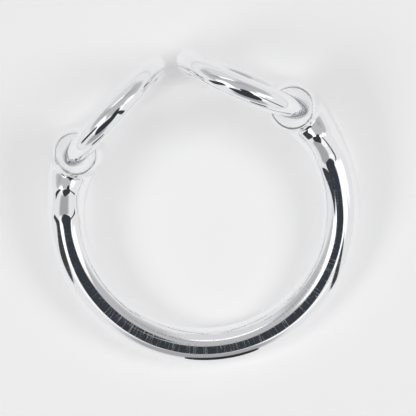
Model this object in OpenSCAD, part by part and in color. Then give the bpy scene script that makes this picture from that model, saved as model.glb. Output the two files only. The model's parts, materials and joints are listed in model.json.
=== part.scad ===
// An open ring of round bar with an eye at each end, and a closed loose ring captive in each eye.
// It stands as it comes to rest: the bar's far side and both loose rings touch the ground.

/* [Open ring] */
// Outside diameter of the open ring, over the bar
open_ring_d = 75; // [68:1:90]
// Diameter of the round bar
bar_d = 9; // [8.25:0.25:10]
// Length of bar over which it widens into each eye
flare_length = 16; // [16:1:17]

/* [Eyes] */
// Outside diameter of each eye
eye_d = 13.2; // [12.6:0.2:15]
// Height of each eye, along its hole
eye_height = 15; // [13:0.2:15.2]
// Diameter of the hole through each eye
hole_d = 9.3; // [9.1:0.1:9.4]

/* [Loose rings] */
// Outside diameter of each loose ring
loose_ring_d = 34.1; // [31:0.1:38]
// Diameter of the loose rings' wire
wire_d = 5.7; // [4.6:0.1:6]
// Angle between each loose ring and a line straight across the gap
loose_ring_angle = 34.8; // [28:0.2:44]
// Distance from the middle of each hole back to the wire that passes through it
wire_setback = 1.4; // [1.2:0.1:1.5]
// Gap between the tips of the two loose rings
tip_gap = 2.4; // [0.6:0.1:6]

/* [Hidden] */

polished_metal = [0.87, 0.88, 0.9];
round_fn = 96;
cut_margin = 1;

bar_r = bar_d / 2;
mid_r = open_ring_d / 2 - bar_r;
wire_r = wire_d / 2;
loop_r = loose_ring_d / 2 - wire_r;

eye_r = eye_d / 2;
eye_half_height = eye_height / 2;
hole_r = hole_d / 2;
// The eye is crowned like a barrel. Its rim is rounded over on the outside and into the hole, with a
// narrow flat land between the two.
crown_r = 24;
rim_round = 0.4;
mouth_round = 0.3;
crown_x = eye_r - crown_r;
rim_z = eye_half_height - rim_round;
rim_x = crown_x + sqrt(pow(crown_r - rim_round, 2) - pow(rim_z, 2));

// Each flare is a cone round the bar with its sides cut narrower. Its thick end is hidden in the eye,
// and its thin end in the bar, a little towards the bar's outer side. The sides start inside the eye's
// rim, leave its wall at an angle from straight across, and close in to the bar's width.
flare_over = 1.1;
flare_thin = 0.6;
flare_outset = 0.3;
flare_leave = 27;
flare_root = rim_x + rim_round / 2;
rim_lip = 0.1;

// The loose rings' tips fix how far each eye is from the middle of the gap.
loop_offset = loop_r - wire_setback;
tip_reach = (loop_offset + loop_r) * cos(loose_ring_angle) + wire_r;
eye_angle = asin((tip_reach + tip_gap / 2) / mid_r);
eye_y = mid_r * cos(eye_angle);
loop_y = eye_y + loop_offset * sin(loose_ring_angle);

// Tilt at which the bar's far side is as low as the loose rings. Both heights depend on the
// tilt's sine, which is the positive root of a quadratic.
lever = mid_r + loop_y;
drop = bar_r - wire_r;
lean = pow(cos(loose_ring_angle), 2);
square_term = pow(lever, 2) + pow(loop_r, 2) * lean;
rest_term = pow(drop, 2) - pow(loop_r, 2);
tilt = asin((sqrt(pow(lever * drop, 2) - square_term * rest_term) - lever * drop) / square_term);

// Shifts that put the ground at z = 0 and the origin in the middle of the footprint.
lift = mid_r * sin(tilt) + bar_r;
near_y = -mid_r * cos(tilt) - bar_r;
far_y = loop_y * cos(tilt) + loop_r * sqrt(1 - lean * pow(cos(tilt), 2)) + wire_r;
shift_y = -(near_y + far_y) / 2;

function arc_angle(length) = length / mid_r * 180 / PI;

// Puts its children from the open ring's own plane, with the gap towards +Y, into the standing pose.
module standing() {
    translate([0, shift_y, lift])
        rotate([tilt, 0, 0])
            children();
}

// Puts its children at the left eye: +X away from the open ring's centre and +Y along the bar.
module at_left_eye() {
    rotate([0, 0, 90 + eye_angle])
        children();
}

module on_both_sides() {
    children();
    mirror([1, 0, 0])
        children();
}

module bar_arc() {
    rotate([0, 0, 90 + eye_angle])
        rotate_extrude(angle = 360 - 2 * eye_angle, $fn = round_fn)
            translate([mid_r, 0])
                circle(r = bar_r, $fn = round_fn);
}

module flare() {
    turn = arc_angle(flare_length);
    run = [(mid_r + flare_outset) * cos(turn) - mid_r, (mid_r + flare_outset) * sin(turn)];
    long = norm(run);
    flat_half = eye_half_height - rim_lip;
    side = [[0, flare_root], eye_r * [sin(flare_leave), cos(flare_leave)], [long, bar_r]];
    other_side = [for (i = [2:-1:0]) [side[i].x, -side[i].y]];
    translate([mid_r, 0, 0])
        rotate([0, 0, atan2(run[1], run[0])])
            intersection() {
                rotate([0, 90, 0])
                    cylinder(
                        r1 = eye_half_height + flare_over,
                        r2 = bar_r - flare_thin,
                        h = long,
                        $fn = round_fn
                    );
                translate([0, 0, -flat_half])
                    linear_extrude(2 * flat_half)
                        polygon(concat(side, other_side));
            }
}

// The eye before its hole is made: a crowned drum with rounded rims.
module eye_drum() {
    slope = rim_z / (rim_x - crown_x);
    inner_z = -slope * crown_x;
    outer_x = eye_r + cut_margin;
    outer_z = slope * (outer_x - crown_x);
    translate([mid_r, 0, 0])
        rotate_extrude($fn = round_fn) {
            translate([0, -eye_half_height])
                square([rim_x, eye_height]);
            for (side = [-1, 1])
                translate([rim_x, side * rim_z])
                    circle(r = rim_round, $fn = round_fn);
            intersection() {
                translate([crown_x, 0])
                    circle(r = crown_r, $fn = round_fn);
                polygon([[0, -inner_z], [outer_x, -outer_z], [outer_x, outer_z], [0, inner_z]]);
            }
        }
}

// What the hole takes away: a cylinder that opens out over the rounding at each mouth.
module eye_hole() {
    mouth_x = hole_r + mouth_round;
    mouth_z = eye_half_height - mouth_round;
    translate([mid_r, 0, 0]) {
        cylinder(r = hole_r, h = eye_height + 2 * cut_margin, center = true, $fn = round_fn);
        for (side = [0, 1])
            mirror([0, 0, side])
                rotate_extrude($fn = round_fn)
                    difference() {
                        translate([0, mouth_z])
                            square([mouth_x, mouth_round + cut_margin]);
                        translate([mouth_x, mouth_z])
                            circle(r = mouth_round, $fn = round_fn);
                    }
    }
}

module c_bar() {
    color(polished_metal)
        standing()
            difference() {
                union() {
                    bar_arc();
                    on_both_sides()
                        at_left_eye() {
                            flare();
                            eye_drum();
                        }
                }
                on_both_sides()
                    at_left_eye()
                        eye_hole();
            }
}

// A loose ring stands square to the open ring's plane, with its wire through the left eye.
module loose_ring() {
    translate([-mid_r * sin(eye_angle), eye_y, 0])
        rotate([0, 0, loose_ring_angle])
            translate([loop_offset, 0, 0])
                rotate([90, 0, 0])
                    rotate_extrude($fn = round_fn)
                        translate([loop_r, 0])
                            circle(r = wire_r, $fn = round_fn);
}

module left_ring() {
    color(polished_metal)
        standing()
            loose_ring();
}

module right_ring() {
    color(polished_metal)
        standing()
            mirror([1, 0, 0])
                loose_ring();
}

c_bar();
left_ring();
right_ring();
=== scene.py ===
"""An open ring of round metal bar with a loose ring in each eye, on a white floor in soft light."""
import json
import math

import bmesh
import bpy
import numpy as np
from mathutils import Matrix, Vector


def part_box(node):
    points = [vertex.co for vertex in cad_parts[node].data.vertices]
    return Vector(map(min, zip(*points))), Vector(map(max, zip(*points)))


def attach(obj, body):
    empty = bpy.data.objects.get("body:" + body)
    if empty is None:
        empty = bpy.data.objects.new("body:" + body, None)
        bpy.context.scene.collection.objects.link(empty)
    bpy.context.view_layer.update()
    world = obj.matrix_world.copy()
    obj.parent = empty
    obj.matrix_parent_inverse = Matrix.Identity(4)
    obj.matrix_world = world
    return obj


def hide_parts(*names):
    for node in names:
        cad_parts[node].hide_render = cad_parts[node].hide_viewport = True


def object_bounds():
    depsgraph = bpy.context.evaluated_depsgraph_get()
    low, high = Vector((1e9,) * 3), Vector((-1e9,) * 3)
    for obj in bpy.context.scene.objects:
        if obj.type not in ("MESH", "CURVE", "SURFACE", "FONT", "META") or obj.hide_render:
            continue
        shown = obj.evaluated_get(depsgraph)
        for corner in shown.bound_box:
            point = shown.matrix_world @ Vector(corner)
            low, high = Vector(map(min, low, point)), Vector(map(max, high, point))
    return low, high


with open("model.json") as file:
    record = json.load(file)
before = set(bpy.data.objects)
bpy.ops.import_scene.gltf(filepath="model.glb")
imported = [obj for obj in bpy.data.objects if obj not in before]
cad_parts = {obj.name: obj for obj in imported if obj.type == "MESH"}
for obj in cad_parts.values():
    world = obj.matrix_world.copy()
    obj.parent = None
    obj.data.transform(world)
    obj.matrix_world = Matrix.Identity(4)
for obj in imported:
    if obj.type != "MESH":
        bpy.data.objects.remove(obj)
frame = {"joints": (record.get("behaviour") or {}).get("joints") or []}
cad_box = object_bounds()

MM = 0.001

# Sizes in millimetres, the same as the CAD model's.
BAR_D = 9.0
EYE_D = 13.2
EYE_HEIGHT = 15.0
HOLE_D = 9.3
WIRE_D = 5.7


# ---------------------------------------------------------------- the frame that the pieces share

def joint(name):
    return next(j for j in frame["joints"] if j["name"] == name)


def open_ring_frame():
    """The open ring's own frame, in metres: its centre, with X to the right eye, Y to the gap and Z up.

    Also gives the radius of the bar's centre line in mm, and the angle from gap to eye in radians.
    """
    left = Vector(joint("left_ring_swing")["pos_m"])
    right = Vector(joint("right_ring_swing")["pos_m"])
    lo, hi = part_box("c_bar")
    mid_r = (hi.x - lo.x) / 2 / MM - BAR_D / 2
    half_span = (right - left).length / 2 / MM
    x_axis = (right - left).normalized()
    z_axis = Vector(joint("left_ring_swing")["axis"]).normalized()
    y_axis = z_axis.cross(x_axis)
    eye_y = math.sqrt(mid_r ** 2 - half_span ** 2)
    centre = (left + right) / 2 - y_axis * eye_y * MM
    axes = Matrix((x_axis, y_axis, z_axis)).transposed().to_4x4()
    return Matrix.Translation(centre) @ axes, mid_r, math.asin(half_span / mid_r)


RING_FRAME, MID_R, EYE_ANGLE = open_ring_frame()


def put_in_scene(name, data):
    """A new object that holds the data, linked to the scene."""
    made = bpy.data.objects.new(name, data)
    bpy.context.scene.collection.objects.link(made)
    return made


# ---------------------------------------------------------------- camera

# Direction from the open ring's centre to the camera, in the open ring's frame, and the view's roll.
VIEW_DIRECTION = Vector((0.069, 0.0985, 1.0)).normalized()
VIEW_ROLL = math.radians(12.2)
VIEW_DISTANCE = 0.6
# What the image's width takes in at the ring's centre, and where the view is centred there, in metres.
VIEW_WIDTH = 0.09947
AIM_RIGHT = 0.0012
AIM_UP = 0.0005
# The sensor's width in mm, and the nearest and farthest that the camera sees, in metres.
SENSOR_WIDTH = 36
CLIP_START = 0.01
CLIP_END = 20


def make_camera():
    back = RING_FRAME.to_3x3() @ VIEW_DIRECTION
    gap_way = RING_FRAME.to_3x3() @ Vector((0, 1, 0))
    up = (gap_way - back * gap_way.dot(back)).normalized()
    right = up.cross(back)
    image_right = right * math.cos(VIEW_ROLL) - up * math.sin(VIEW_ROLL)
    image_up = right * math.sin(VIEW_ROLL) + up * math.cos(VIEW_ROLL)
    aim = RING_FRAME.translation + image_right * AIM_RIGHT + image_up * AIM_UP
    data = bpy.data.cameras.new("camera")
    data.sensor_width = SENSOR_WIDTH
    data.lens = SENSOR_WIDTH * VIEW_DISTANCE / VIEW_WIDTH
    data.clip_start = CLIP_START
    data.clip_end = CLIP_END
    camera = put_in_scene("camera", data)
    axes = Matrix((image_right, image_up, back)).transposed().to_4x4()
    camera.matrix_world = Matrix.Translation(aim + back * VIEW_DISTANCE) @ axes
    bpy.context.scene.camera = camera


# ---------------------------------------------------------------- meshes

def mesh_object(name, points, faces, to_world):
    """A smooth-shaded object from points in mm, moved by to_world into the model's frame."""
    mesh = bpy.data.meshes.new(name)
    mesh.from_pydata([tuple(p) for p in np.asarray(points) * MM], [], [tuple(f) for f in faces])
    bm = bmesh.new()
    bm.from_mesh(mesh)
    bmesh.ops.recalc_face_normals(bm, faces=bm.faces)
    bm.to_mesh(mesh)
    bm.free()
    mesh.transform(to_world)
    mesh.shade_smooth()
    return put_in_scene(name, mesh)


# The bar widens across the ring over this length, by this much on each side, before it meets the eye.
WIDE_LENGTH = 21.0
WIDE_GAIN = 1.9
# Its height rises at HIGH_SLOPE from HIGH_START to HIGH_END, both distances from the eye. Nearer to it,
# HIGH_FALL times the slope is taken off, so the height falls again towards the eye's rim.
HIGH_SLOPE = 0.45
HIGH_START = 16.0
HIGH_END = 9.2
HIGH_FALL = 1.62
# How widely the foot of the rise and the crest at its end are rounded.
FOOT_ROUND = 0.9
CREST_ROUND = 1.2
# The eye is crowned like a barrel, and its edges are blended over these widths.
CROWN_R = 20.0
RIM_BLEND = 0.9
FLARE_BLEND = 1.3
MOUTH_BLEND = 0.6
# The bar's skin stays this far inside its nominal surface, so that the model stays in its box.
SKIN = 0.01


def smooth_max(a, b, width):
    """The larger of two fields, blended over a width where they are close."""
    near = np.maximum(width - np.abs(a - b), 0) / width
    return np.maximum(a, b) + near ** 3 * width / 6


def half_width(s):
    """Half of the bar's width across the ring, at a length s along it from the eye."""
    return BAR_D / 2 + WIDE_GAIN * np.clip(1 - np.asarray(s) / WIDE_LENGTH, 0, 1) ** 2


def ramp(x, roundness):
    """Zero below x = 0 and x above it, rounded between the two."""
    return (x + np.hypot(x, roundness)) / 2


def half_height(s):
    """Half of the bar's height at a length s along it from the eye."""
    s = np.asarray(s)
    rise = ramp(HIGH_START - s, FOOT_ROUND)
    fall = HIGH_FALL * ramp(HIGH_END - s, CREST_ROUND)
    return BAR_D / 2 + HIGH_SLOPE * (rise - fall)


def open_ring_field(p):
    """Below zero inside the open ring, zero on its surface. Points are in mm in the ring's own frame."""
    x, y, z = np.abs(p[:, 0]), p[:, 1], p[:, 2]
    s = (np.arctan2(x, y) - EYE_ANGLE) * MID_R
    u = np.hypot(x, y) - MID_R
    wide, high = half_width(s) - SKIN, half_height(np.maximum(s, 0)) - SKIN
    u = np.hypot(u, np.minimum(s, 0))
    bar = (np.hypot(u / wide, z / high) - 1) * np.minimum(wide, high)
    q = np.hypot(x - MID_R * math.sin(EYE_ANGLE), y - MID_R * math.cos(EYE_ANGLE))
    side = np.hypot(q + CROWN_R - EYE_D / 2, z) - CROWN_R
    eye = smooth_max(side, np.abs(z) - EYE_HEIGHT / 2, RIM_BLEND)
    body = -smooth_max(-bar, -eye, FLARE_BLEND)
    return smooth_max(body, HOLE_D / 2 - q, MOUTH_BLEND)


# How often points are moved towards the surface, the step in mm that its slope is measured over, and the
# least that a squared slope counts as, so that nothing is divided by zero.
SURFACE_ROUNDS = 10
SLOPE_STEP = 1e-3
LEAST_SLOPE = 1e-9


def onto_surface(points, field):
    """Moves points onto the surface where the field is zero, along its slope."""
    p = np.array(points, float)
    for _ in range(SURFACE_ROUNDS):
        value = field(p)
        slope = np.zeros_like(p)
        for axis in range(3):
            ahead, behind = p.copy(), p.copy()
            ahead[:, axis] += SLOPE_STEP
            behind[:, axis] -= SLOPE_STEP
            slope[:, axis] = (field(ahead) - field(behind)) / (2 * SLOPE_STEP)
        p -= slope * (value / np.maximum((slope ** 2).sum(1), LEAST_SLOPE))[:, None]
    return p


# The cage: eight corners round the bar, numbered from its outer side over the top.
OUTER, TOP, INNER, BOTTOM = 0, 2, 4, 6
CORNERS = 8
# Lengths along the bar from the eye at which the cage has its first sections. The rest are about this gap
# apart.
FIRST_SECTIONS = (6.0, 9.5, 14.0)
SECTION_GAP = 8.6
# Angles round the hole, in degrees, of the cage's corners beside it and of those on the eye's outside.
HOLE_TURNS = (45, 90, 135, 180)
SIDE_TURNS = (74, 106, 142, 180)
SUBDIVISIONS = 4


def bar_point(side, s, u, z):
    """A point at a length s along the bar, u outwards of its centre line and z up. Side is -1 or 1."""
    turn = EYE_ANGLE + s / MID_R
    return (side * (MID_R + u) * math.sin(turn), (MID_R + u) * math.cos(turn), z)


def eye_point(side, q, turn, z):
    """A point at a distance q from the hole's axis. Turn 0 is along the bar, 90 degrees is outwards."""
    along, out = q * math.cos(math.radians(turn)), q * math.sin(math.radians(turn))
    sin, cos = math.sin(EYE_ANGLE), math.cos(EYE_ANGLE)
    x = (MID_R + out) * sin + along * cos
    y = (MID_R + out) * cos - along * sin
    return (side * x, y, z)


class Cage:
    """Corners and faces of the coarse mesh that the open ring is subdivided from."""

    def __init__(self):
        self.points = []
        self.faces = []

    def add(self, point):
        self.points.append(point)
        return len(self.points) - 1

    def bridge(self, a, b):
        """Joins two loops of corners with a band of faces."""
        for i in range(len(a)):
            j = (i + 1) % len(a)
            self.faces.append((a[i], a[j], b[j], b[i]))


def bar_section(cage, side, s):
    """Eight corners round the bar, at a length s along it from the eye."""
    wide, high = float(half_width(s)), float(half_height(s))
    turns = [2 * math.pi * k / CORNERS for k in range(CORNERS)]
    return [cage.add(bar_point(side, s, wide * math.cos(t), high * math.sin(t))) for t in turns]


# The cage's corners round the eye stand outside its surface, because smoothing draws them in.
RIM_Q = HOLE_D / 2 + 0.6
RIM_Z = EYE_HEIGHT / 2 + 1
WALL_Q = HOLE_D / 2 + 0.5
MOUTH_Z = EYE_HEIGHT / 2 - 0.6
SHOULDER_Q = EYE_D / 2 - 0.1
SHOULDER_Z = 0.55 * EYE_HEIGHT / 2
SIDE_Q = EYE_D / 2 + 0.45


def mouth_column(cage, side, turn):
    """Three corners down the hole's wall, from below."""
    return [cage.add(eye_point(side, WALL_Q, turn, z)) for z in (-MOUTH_Z, 0, MOUTH_Z)]


def limb_section(cage, side, way, hole_turn, side_turn):
    """Eight corners round one side of the eye: down its outside, then up the hole's wall."""
    shoulder = (hole_turn + side_turn) / 2
    places = (
        (RIM_Q, hole_turn, RIM_Z),
        (SHOULDER_Q, shoulder, SHOULDER_Z),
        (SIDE_Q, side_turn, 0),
        (SHOULDER_Q, shoulder, -SHOULDER_Z),
        (RIM_Q, hole_turn, -RIM_Z),
    )
    outside = [cage.add(eye_point(side, q, way * turn, z)) for q, turn, z in places]
    return outside + mouth_column(cage, side, way * hole_turn)


def add_eye(cage, side, section):
    """Splits the bar's last section into two limbs that meet again on the far side of the hole."""
    cage.points[section[TOP]] = eye_point(side, RIM_Q, 0, RIM_Z)
    cage.points[section[BOTTOM]] = eye_point(side, RIM_Q, 0, -RIM_Z)
    wall = mouth_column(cage, side, 0)
    end = limb_section(cage, side, 1, HOLE_TURNS[-1], SIDE_TURNS[-1])
    for way, order in ((1, (TOP, 1, OUTER, 7, BOTTOM)), (-1, (TOP, 3, INNER, 5, BOTTOM))):
        loop = [section[k] for k in order] + wall
        for hole_turn, side_turn in zip(HOLE_TURNS[:-1], SIDE_TURNS[:-1]):
            following = limb_section(cage, side, way, hole_turn, side_turn)
            cage.bridge(loop, following)
            loop = following
        cage.bridge(loop, end)


def open_ring_cage():
    cage = Cage()
    half_length = (math.pi - EYE_ANGLE) * MID_R
    last = FIRST_SECTIONS[-1]
    count = round((half_length - last) / SECTION_GAP)
    lengths = list(FIRST_SECTIONS) + [last + (half_length - last) * i / count for i in range(1, count)]
    middle = bar_section(cage, 1, half_length)
    for side in (-1, 1):
        # The middle section is its own mirror image, so its corners match both sides by place.
        sections = [bar_section(cage, side, s) for s in lengths] + [middle]
        for a, b in zip(sections, sections[1:]):
            cage.bridge(a, b)
        add_eye(cage, side, sections[0])
    return cage


def subdivided(points, faces, levels):
    """Points and faces of a mesh after smooth subdivision."""
    mesh = bpy.data.meshes.new("cage")
    mesh.from_pydata(points, [], faces)
    holder = put_in_scene("cage", mesh)
    modifier = holder.modifiers.new("smooth", "SUBSURF")
    modifier.levels = levels
    modifier.render_levels = levels
    modifier.use_limit_surface = False
    bpy.context.view_layer.update()
    fine = holder.evaluated_get(bpy.context.evaluated_depsgraph_get()).to_mesh()
    fine_points = np.array([v.co[:] for v in fine.vertices])
    fine_faces = [tuple(f.vertices) for f in fine.polygons]
    holder.to_mesh_clear()
    bpy.data.objects.remove(holder)
    bpy.data.meshes.remove(mesh)
    return fine_points, fine_faces


def make_open_ring():
    cage = open_ring_cage()
    points, faces = subdivided(cage.points, cage.faces, SUBDIVISIONS)
    return mesh_object("open_ring", onto_surface(points, open_ring_field), faces, RING_FRAME)


# ---------------------------------------------------------------- loose rings

# Faces round the wire and round the ring.
WIRE_STEPS = 96
RING_STEPS = 384
# Hand polishing leaves the wire very slightly uneven, by about this much in mm, in two sets of waves.
# Each set is its count round the ring, its count round the wire and how often the phase is added.
UNEVEN = 0.006
WAVES = ((5, 2, 1), (11, -1, 2))
# Each loose ring's piece, its CAD node, which has the same name as its body, its joint and its phase.
LOOSE_RINGS = (
    ("left_loose_ring", "left_ring", "left_ring_swing", 0.0),
    ("right_loose_ring", "right_ring", "right_ring_swing", 1.9),
)


def loose_ring_frame(node, joint_name):
    """The loose ring's frame, in metres, with Z square to it, and its centre line's radius in mm."""
    lo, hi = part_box(node)
    centre = (lo + hi) / 2
    eye = Vector(joint(joint_name)["pos_m"])
    up = RING_FRAME.to_3x3() @ Vector((0, 0, 1))
    out = centre - eye
    out = (out - up * out.dot(up)).normalized()
    square = up.cross(out)
    radius = ((hi.x - lo.x) / 2 / MM - WIRE_D / 2) / math.sqrt(1 - square.x ** 2)
    axes = Matrix((up, out, square)).transposed().to_4x4()
    return Matrix.Translation(centre) @ axes, radius


def make_loose_ring(name, node, joint_name, phase):
    to_world, radius = loose_ring_frame(node, joint_name)
    ring_turn = np.linspace(0, 2 * np.pi, RING_STEPS, endpoint=False)[:, None]
    wire_turn = np.linspace(0, 2 * np.pi, WIRE_STEPS, endpoint=False)[None, :]
    wave = sum(np.sin(a * ring_turn + b * wire_turn + c * phase) for a, b, c in WAVES)
    wire_r = WIRE_D / 2 - UNEVEN * (1 + wave / 2)
    across = radius + wire_r * np.cos(wire_turn)
    x, y = across * np.cos(ring_turn), across * np.sin(ring_turn)
    z = wire_r * np.sin(wire_turn)
    points = np.stack([x, y, z], -1).reshape(-1, 3)
    faces = []
    for i in range(RING_STEPS):
        here, ahead = i * WIRE_STEPS, (i + 1) % RING_STEPS * WIRE_STEPS
        for j in range(WIRE_STEPS):
            j2 = (j + 1) % WIRE_STEPS
            faces.append((here + j, ahead + j, ahead + j2, here + j2))
    return mesh_object(name, points, faces, to_world)


# ---------------------------------------------------------------- nodes and materials

class Nodes:
    """A short way to add and join shader nodes."""

    def __init__(self, tree):
        self.tree = tree
        tree.nodes.clear()

    def add(self, kind, inputs=(), **settings):
        node = self.tree.nodes.new(kind)
        for key, value in settings.items():
            setattr(node, key, value)
        for key, value in dict(inputs).items():
            if isinstance(value, bpy.types.NodeSocket):
                self.tree.links.new(value, node.inputs[key])
            else:
                node.inputs[key].default_value = value
        return node

    def math(self, operation, a, b=0.0):
        return self.add("ShaderNodeMath", {0: a, 1: b}, operation=operation).outputs[0]

    def dot(self, a, b):
        return self.add("ShaderNodeVectorMath", {0: a, 1: b}, operation="DOT_PRODUCT").outputs["Value"]

    def smooth_step(self, value, low, high):
        ranged = self.add(
            "ShaderNodeMapRange",
            {"Value": value, "From Min": low, "From Max": high},
            interpolation_type="SMOOTHSTEP",
        )
        return ranged.outputs["Result"]

    def mix_shaders(self, amount, a, b):
        mixed = self.add("ShaderNodeMixShader", {0: amount})
        self.link(a.outputs[0], mixed.inputs[1])
        self.link(b.outputs[0], mixed.inputs[2])
        return mixed

    def link(self, a, b):
        self.tree.links.new(a, b)

    def finish(self, shader, output="ShaderNodeOutputMaterial"):
        """Joins the last shader to the output."""
        self.link(shader.outputs[0], self.add(output).inputs["Surface"])


def new_material(name):
    """A material with no nodes yet, and a way to add them."""
    material = bpy.data.materials.new(name)
    material.use_nodes = True
    return material, Nodes(material.node_tree)


METAL_COLOUR = (0.955, 0.957, 0.961, 1)
ROUGHNESS = 0.03
# The metal's slight waviness: how many noise cells there are per metre, their detail, how strongly they
# tilt the surface, and their depth in metres.
WAVY_SCALE = 90.0
WAVY_DETAIL = 1.0
WAVY_STRENGTH = 0.02
WAVY_DEPTH = 0.001

# Fine marks across the bar: how many per metre along it and across it, their noise's detail, the noise
# values where a mark begins and where it is full, and how much rougher a full mark is.
MARKS_ALONG = 4300.0
MARKS_ACROSS = 190.0
MARK_DETAIL = 2.0
MARK_EDGE = (0.47, 0.70)
MARK_ROUGHNESS = 0.33
# They are thickest on top of the bar opposite the gap, towards the ring's middle. Each pair is where they
# begin and where they are full, in metres in the ring's own frame. Elsewhere they have this share.
WORN_Y = (-0.008, -0.024)
WORN_Z = (0.0031, 0.0040)
WORN_RADIUS = (MID_R * MM + 0.0022, MID_R * MM - 0.0002)
WORN_ELSEWHERE = 0.30


def marked_roughness(n, place):
    """Roughness of metal with fine hazy marks across the bar, as hands and other metal leave them."""
    from_centre = n.add(
        "ShaderNodeVectorMath", {0: place, 1: RING_FRAME.translation}, operation="SUBTRACT"
    ).outputs[0]
    x, y, z = (n.dot(from_centre, RING_FRAME.col[axis].to_3d()) for axis in range(3))
    turn = n.math("ARCTAN2", x, n.math("MULTIPLY", y, -1.0))
    radius = n.math("SQRT", n.math("ADD", n.math("MULTIPLY", x, x), n.math("MULTIPLY", y, y)))
    along = n.math("MULTIPLY", turn, MID_R * MM * MARKS_ALONG)
    across = n.math("MULTIPLY", radius, MARKS_ACROSS)
    over = n.math("MULTIPLY", z, MARKS_ACROSS)
    grid = n.add("ShaderNodeCombineXYZ", {0: along, 1: across, 2: over}).outputs[0]
    noise = n.add("ShaderNodeTexNoise", {"Vector": grid, "Scale": 1.0, "Detail": MARK_DETAIL})
    marks = n.smooth_step(noise.outputs["Fac"], *MARK_EDGE)
    patch = n.math("MULTIPLY", n.smooth_step(y, *WORN_Y), n.smooth_step(z, *WORN_Z))
    patch = n.math("MULTIPLY", patch, n.smooth_step(radius, *WORN_RADIUS))
    worn = n.math("ADD", n.math("MULTIPLY", patch, 1 - WORN_ELSEWHERE), WORN_ELSEWHERE)
    amount = n.math("MULTIPLY", n.math("MULTIPLY", marks, worn), MARK_ROUGHNESS)
    return n.math("ADD", amount, ROUGHNESS)


def metal_material(name, marked):
    """Bright polished metal, very slightly wavy, with or without the marks."""
    material, n = new_material(name)
    place = n.add("ShaderNodeTexCoord").outputs["Object"]
    waves = n.add("ShaderNodeTexNoise", {"Vector": place, "Scale": WAVY_SCALE, "Detail": WAVY_DETAIL})
    bump = n.add(
        "ShaderNodeBump",
        {"Height": waves.outputs["Fac"], "Strength": WAVY_STRENGTH, "Distance": WAVY_DEPTH},
    )
    shader = n.add(
        "ShaderNodeBsdfPrincipled",
        {"Base Color": METAL_COLOUR, "Metallic": 1.0, "Roughness": ROUGHNESS},
    )
    n.link(bump.outputs["Normal"], shader.inputs["Normal"])
    if marked:
        n.link(marked_roughness(n, place), shader.inputs["Roughness"])
    n.finish(shader)
    return material


# ---------------------------------------------------------------- the studio

# Half of the floor's side, in metres.
FLOOR_HALF = 3.0
FLOOR_COLOUR = (0.88, 0.88, 0.885, 1)
FLOOR_ROUGHNESS = 0.6
# The floor gives off a little light of its own, which keeps the shadows on it pale.
FLOOR_GLOW = 0.28


def floor_material():
    material, n = new_material("white_floor")
    shader = n.add(
        "ShaderNodeBsdfPrincipled",
        {
            "Base Color": FLOOR_COLOUR,
            "Roughness": FLOOR_ROUGHNESS,
            "Emission Color": FLOOR_COLOUR,
            "Emission Strength": FLOOR_GLOW,
        },
    )
    n.finish(shader)
    return material


def make_floor():
    lo, _ = cad_box
    points = [(-1, -1), (1, -1), (1, 1), (-1, 1)]
    mesh = bpy.data.meshes.new("floor")
    mesh.from_pydata([(x * FLOOR_HALF, y * FLOOR_HALF, lo.z) for x, y in points], [], [(0, 1, 2, 3)])
    mesh.materials.append(floor_material())
    floor = put_in_scene("floor", mesh)


# What surrounds the ring: a pale tent, and flat cards on it that face the ring, each over those before.
# Their angles are in degrees: azimuth (counter-clockwise from +X), tilt from straight up, half width and
# half height. Then come the softness of a card's edge and its colour.
TENT = (0.80, 0.80, 0.81, 1)
DARK = (0.05, 0.052, 0.056, 1)
CARDS = (
    ("back_wall", 84, 22, 62, 38, 0.32, (0.49, 0.49, 0.50, 1)),
    ("back_glow", 95, 53, 26, 20, 0.25, (0.69, 0.69, 0.70, 1)),
    ("back_fold", 92, 28, 40, 5, 0.60, (0.36, 0.36, 0.37, 1)),
    ("back_window", 97, 32, 15, 4.5, 0.30, (1.1, 1.1, 1.1, 1)),
    ("front_wall", 256, 68, 24, 14, 0.30, (0.38, 0.38, 0.39, 1)),
    ("left_light", 194, 31, 14, 14, 0.28, (1.3, 1.3, 1.3, 1)),
    ("left_low_light", 226, 44, 12, 6, 0.15, (0.98, 0.98, 0.98, 1)),
    ("right_light", 346, 47, 9, 14, 0.28, (1.1, 1.1, 1.1, 1)),
    ("right_inner_light", 316, 34, 10, 13, 0.12, (1.2, 1.2, 1.2, 1)),
    ("right_low_light", 290, 55, 14, 6, 0.15, (0.98, 0.98, 0.98, 1)),
    ("left_leg", 199, 58, 7, 21, 0.10, DARK),
    ("right_leg", 311, 64, 3.2, 26, 0.15, DARK),
)
# How square the cards are: 2 is an ellipse, and more is squarer.
CARD_ROUNDNESS = 4
# The least that a direction counts as pointing towards a card, so that nothing is divided by zero.
LEAST_FACING = 0.001


def card_axes(azimuth, tilt):
    """The card's centre, across and up directions."""
    a, t = math.radians(azimuth), math.radians(tilt)
    centre = Vector((math.sin(t) * math.cos(a), math.sin(t) * math.sin(a), math.cos(t)))
    across = Vector((-math.sin(a), math.cos(a), 0))
    return centre, across, centre.cross(across)


def card_mask(n, direction, azimuth, tilt, half_wide, half_high, softness):
    """One where the direction meets the card, and zero past its soft edge."""
    centre, across, up = card_axes(azimuth, tilt)
    facing = n.math("MAXIMUM", n.dot(direction, centre), LEAST_FACING)
    sides = []
    for axis, half in ((across, half_wide), (up, half_high)):
        ratio = n.math("DIVIDE", n.dot(direction, axis), facing)
        scaled = n.math("DIVIDE", n.math("ABSOLUTE", ratio), math.tan(math.radians(half)))
        sides.append(n.math("POWER", scaled, CARD_ROUNDNESS))
    size = n.math("POWER", n.math("ADD", *sides), 1 / CARD_ROUNDNESS)
    return n.smooth_step(size, 1 + softness, 1 - softness)


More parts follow.
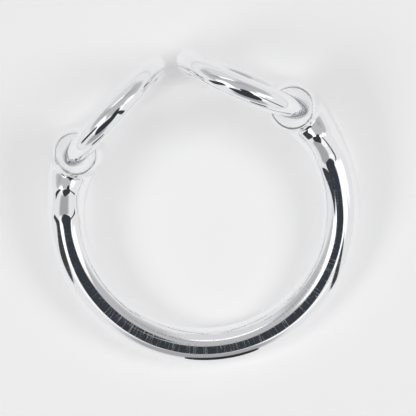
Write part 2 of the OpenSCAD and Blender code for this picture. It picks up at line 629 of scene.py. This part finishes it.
# Dark things near the ring that only its reflections show: the camera over it, and something low in
# front. Each is a flat rounded shape: its centre and two half axes, in mm, then its roundness and colour.
CAMERA_COLOUR = (0.037, 0.043, 0.052, 1)
NEAR_CARDS = (
    ("camera_body", (-16, -137, 165), (98, 0, 0), (0, 97, 0), 3.0, CAMERA_COLOUR),
    ("camera_grip", (28, -42, 166), (30, 0, 0), (0, 38, 0), 2.5, CAMERA_COLOUR),
    ("low_in_front", (-12, -100, 12), (24, 0, 0), (0, 0, 12), 4.0, (0.03, 0.03, 0.032, 1)),
)
NEAR_CARD_CORNERS = 96


def squared_off(v, roundness):
    """A sine or cosine, moved outwards so that the outline that it makes is squarer than an ellipse."""
    return math.copysign(abs(v) ** (2 / roundness), v)


def make_near_card(name, centre, across, up, roundness, colour):
    points = []
    for k in range(NEAR_CARD_CORNERS):
        turn = 2 * math.pi * k / NEAR_CARD_CORNERS
        sideways = squared_off(math.cos(turn), roundness)
        upwards = squared_off(math.sin(turn), roundness)
        points.append((Vector(centre) + Vector(across) * sideways + Vector(up) * upwards) * MM)
    mesh = bpy.data.meshes.new(name)
    mesh.from_pydata(points, [], [tuple(range(NEAR_CARD_CORNERS))])
    material, n = new_material(name)
    n.finish(n.add("ShaderNodeEmission", {"Color": colour}))
    mesh.materials.append(material)
    card = put_in_scene(name, mesh)
    card.visible_camera = False
    card.visible_diffuse = False
    card.visible_shadow = False


# What the camera sees past the floor, and the colour of the even light that falls on the floor.
BACKDROP = (0.83, 0.83, 0.835, 1)
# How strong that even light is where it comes to the floor directly, and where it comes off the metal.
# The second also stands for the lamps, which reflections leave out.
GLOW = 0.365
BOUNCE_GLOW = 1.15
# Sockets of a Mix node that mixes colours: its factor, its two colours and its result.
MIX_FACTOR, MIX_A, MIX_B = 0, 6, 7
MIX_RESULT = 2


def make_world():
    world = bpy.data.worlds.new("studio")
    world.use_nodes = True
    bpy.context.scene.world = world
    n = Nodes(world.node_tree)
    direction = n.add("ShaderNodeTexCoord").outputs["Generated"]
    light = TENT
    for name, azimuth, tilt, wide, high, softness, colour in CARDS:
        mask = card_mask(n, direction, azimuth, tilt, wide, high, softness)
        colours = {MIX_FACTOR: mask, MIX_A: light, MIX_B: colour}
        light = n.add("ShaderNodeMix", colours, data_type="RGBA", label=name).outputs[MIX_RESULT]
    studio = n.add("ShaderNodeBackground", {"Color": light})
    backdrop = n.add("ShaderNodeBackground", {"Color": BACKDROP})
    path = n.add("ShaderNodeLightPath")
    bounced = n.math("GREATER_THAN", path.outputs["Diffuse Depth"], 0.5)
    straight = n.math("MULTIPLY", path.outputs["Is Diffuse Ray"], GLOW - BOUNCE_GLOW)
    strength = n.math("ADD", straight, BOUNCE_GLOW)
    glow = n.add("ShaderNodeBackground", {"Color": BACKDROP, "Strength": strength})
    lit = n.mix_shaders(bounced, studio, glow)
    n.finish(n.mix_shaders(path.outputs["Is Camera Ray"], lit, backdrop), "ShaderNodeOutputWorld")


# A lamp on each side: they light the floor and give the soft shadows. Metres and watts.
LAMP_PLACES = (Vector((-0.42, -0.12, 0.54)), Vector((0.43, -0.10, 0.54)))
LAMP_SIZE = 0.27
LAMP_POWER = 1.06


def make_lamp(place):
    data = bpy.data.lights.new("lamp", "AREA")
    data.size = LAMP_SIZE
    data.energy = LAMP_POWER
    lamp = put_in_scene("lamp", data)
    lamp.location = place
    lamp.rotation_mode = "QUATERNION"
    lamp.rotation_quaternion = place.to_track_quat("Z", "Y")
    lamp.visible_glossy = False


def dress(piece, body, node, material):
    """Gives a piece its material and the body that it moves with, and hides the CAD node that it stands
    for.
    """
    piece.data.materials.append(material)
    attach(piece, body)
    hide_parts(node)


# The wire's reflections in the eye, and the eye's in the wire, go back and forth many times.
BOUNCES = 32

make_camera()
dress(make_open_ring(), "c_bar", "c_bar", metal_material("worn_metal", marked=True))
plain_metal = metal_material("polished_metal", marked=False)
for name, node, joint_name, phase in LOOSE_RINGS:
    dress(make_loose_ring(name, node, joint_name, phase), node, node, plain_metal)
make_floor()
make_world()
for lamp_place in LAMP_PLACES:
    make_lamp(lamp_place)
for near_card in NEAR_CARDS:
    make_near_card(*near_card)
bpy.context.scene.view_settings.view_transform = "Standard"
bpy.context.scene.cycles.glossy_bounces = BOUNCES
bpy.context.scene.cycles.max_bounces = BOUNCES
